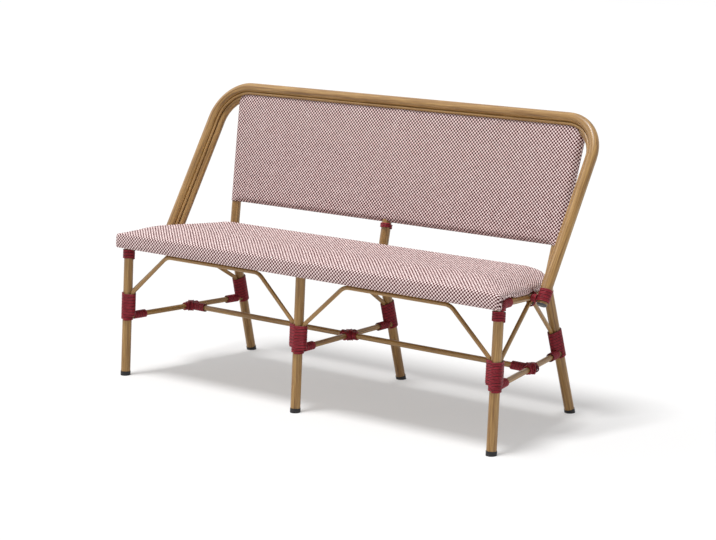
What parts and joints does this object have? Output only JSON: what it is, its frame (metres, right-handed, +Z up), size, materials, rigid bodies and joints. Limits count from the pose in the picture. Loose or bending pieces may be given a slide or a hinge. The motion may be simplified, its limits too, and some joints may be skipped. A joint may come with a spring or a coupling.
{
  "type": "patio bench",
  "caption": "Fixed patio bench: bamboo-look tube frame with cord-wrapped joints, a checked woven seat and a woven back panel inside a bent hoop.",
  "frame": {"origin": "on the floor under the middle of the bench", "axes": "+X to the right along the bench, +Y to the rear, +Z up"},
  "size_m": [1.4266, 0.518, 0.845],
  "materials": {
    "frame_tube": "satin painted bamboo look with fine streaks",
    "woven_fabric": "pale and burgundy checked synthetic weave",
    "binding_cord": "burgundy synthetic cord, soft sheen",
    "seat_board": "plain plywood",
    "foot_plug": "matt black",
    "end_cap": "satin black"
  },
  "bodies": {
    "root": {"arch_top_bindings": "binding_cord", "arm_binding_left": "binding_cord", "arm_binding_right": "binding_cord", "arm_boss_left": "frame_tube", "arm_boss_right": "frame_tube", "back_cloth_front": "woven_fabric", "back_cloth_rear": "woven_fabric", "back_hoop_bead": "frame_tube", "back_hoop_inner": "frame_tube", "back_hoop_outer": "frame_tube", "centre_brace": "frame_tube", "centre_post_binding": "binding_cord", "centre_rail": "frame_tube", "centre_stretcher": "frame_tube", "front_arch_left": "frame_tube", "front_arch_right": "frame_tube", "front_foot_centre": "foot_plug", "front_foot_left": "foot_plug", "front_foot_right": "foot_plug", "front_leg_binding_centre": "binding_cord", "front_leg_binding_left": "binding_cord", "front_leg_binding_right": "binding_cord", "front_leg_centre": "frame_tube", "front_leg_left": "frame_tube", "front_leg_right": "frame_tube", "front_rail_left": "frame_tube", "front_rail_right": "frame_tube", "hoop_cap_left": "end_cap", "hoop_cap_right": "end_cap", "long_stretcher_left": "frame_tube", "long_stretcher_right": "frame_tube", "lower_back_rail_left": "frame_tube", "lower_back_rail_right": "frame_tube", "rear_foot_centre": "foot_plug", "rear_foot_left": "foot_plug", "rear_foot_right": "foot_plug", "rear_leg_binding_centre": "binding_cord", "rear_leg_binding_left": "binding_cord", "rear_leg_binding_right": "binding_cord", "rear_leg_centre": "frame_tube", "rear_leg_left": "frame_tube", "rear_leg_right": "frame_tube", "rear_rail": "frame_tube", "seat_board": "seat_board", "seat_corner_binding_left": "binding_cord", "seat_corner_binding_right": "binding_cord", "seat_cushion": "woven_fabric", "seat_front_roll": "woven_fabric", "side_arch_left": "frame_tube", "side_arch_right": "frame_tube", "side_rail_left": "frame_tube", "side_rail_right": "frame_tube", "side_stretcher_left": "frame_tube", "side_stretcher_right": "frame_tube", "stretcher_crossing_binding_centre": "binding_cord", "stretcher_crossing_binding_left": "binding_cord", "stretcher_crossing_binding_right": "binding_cord", "stretcher_end_bindings": "binding_cord"}
  },
  "joints": []
}
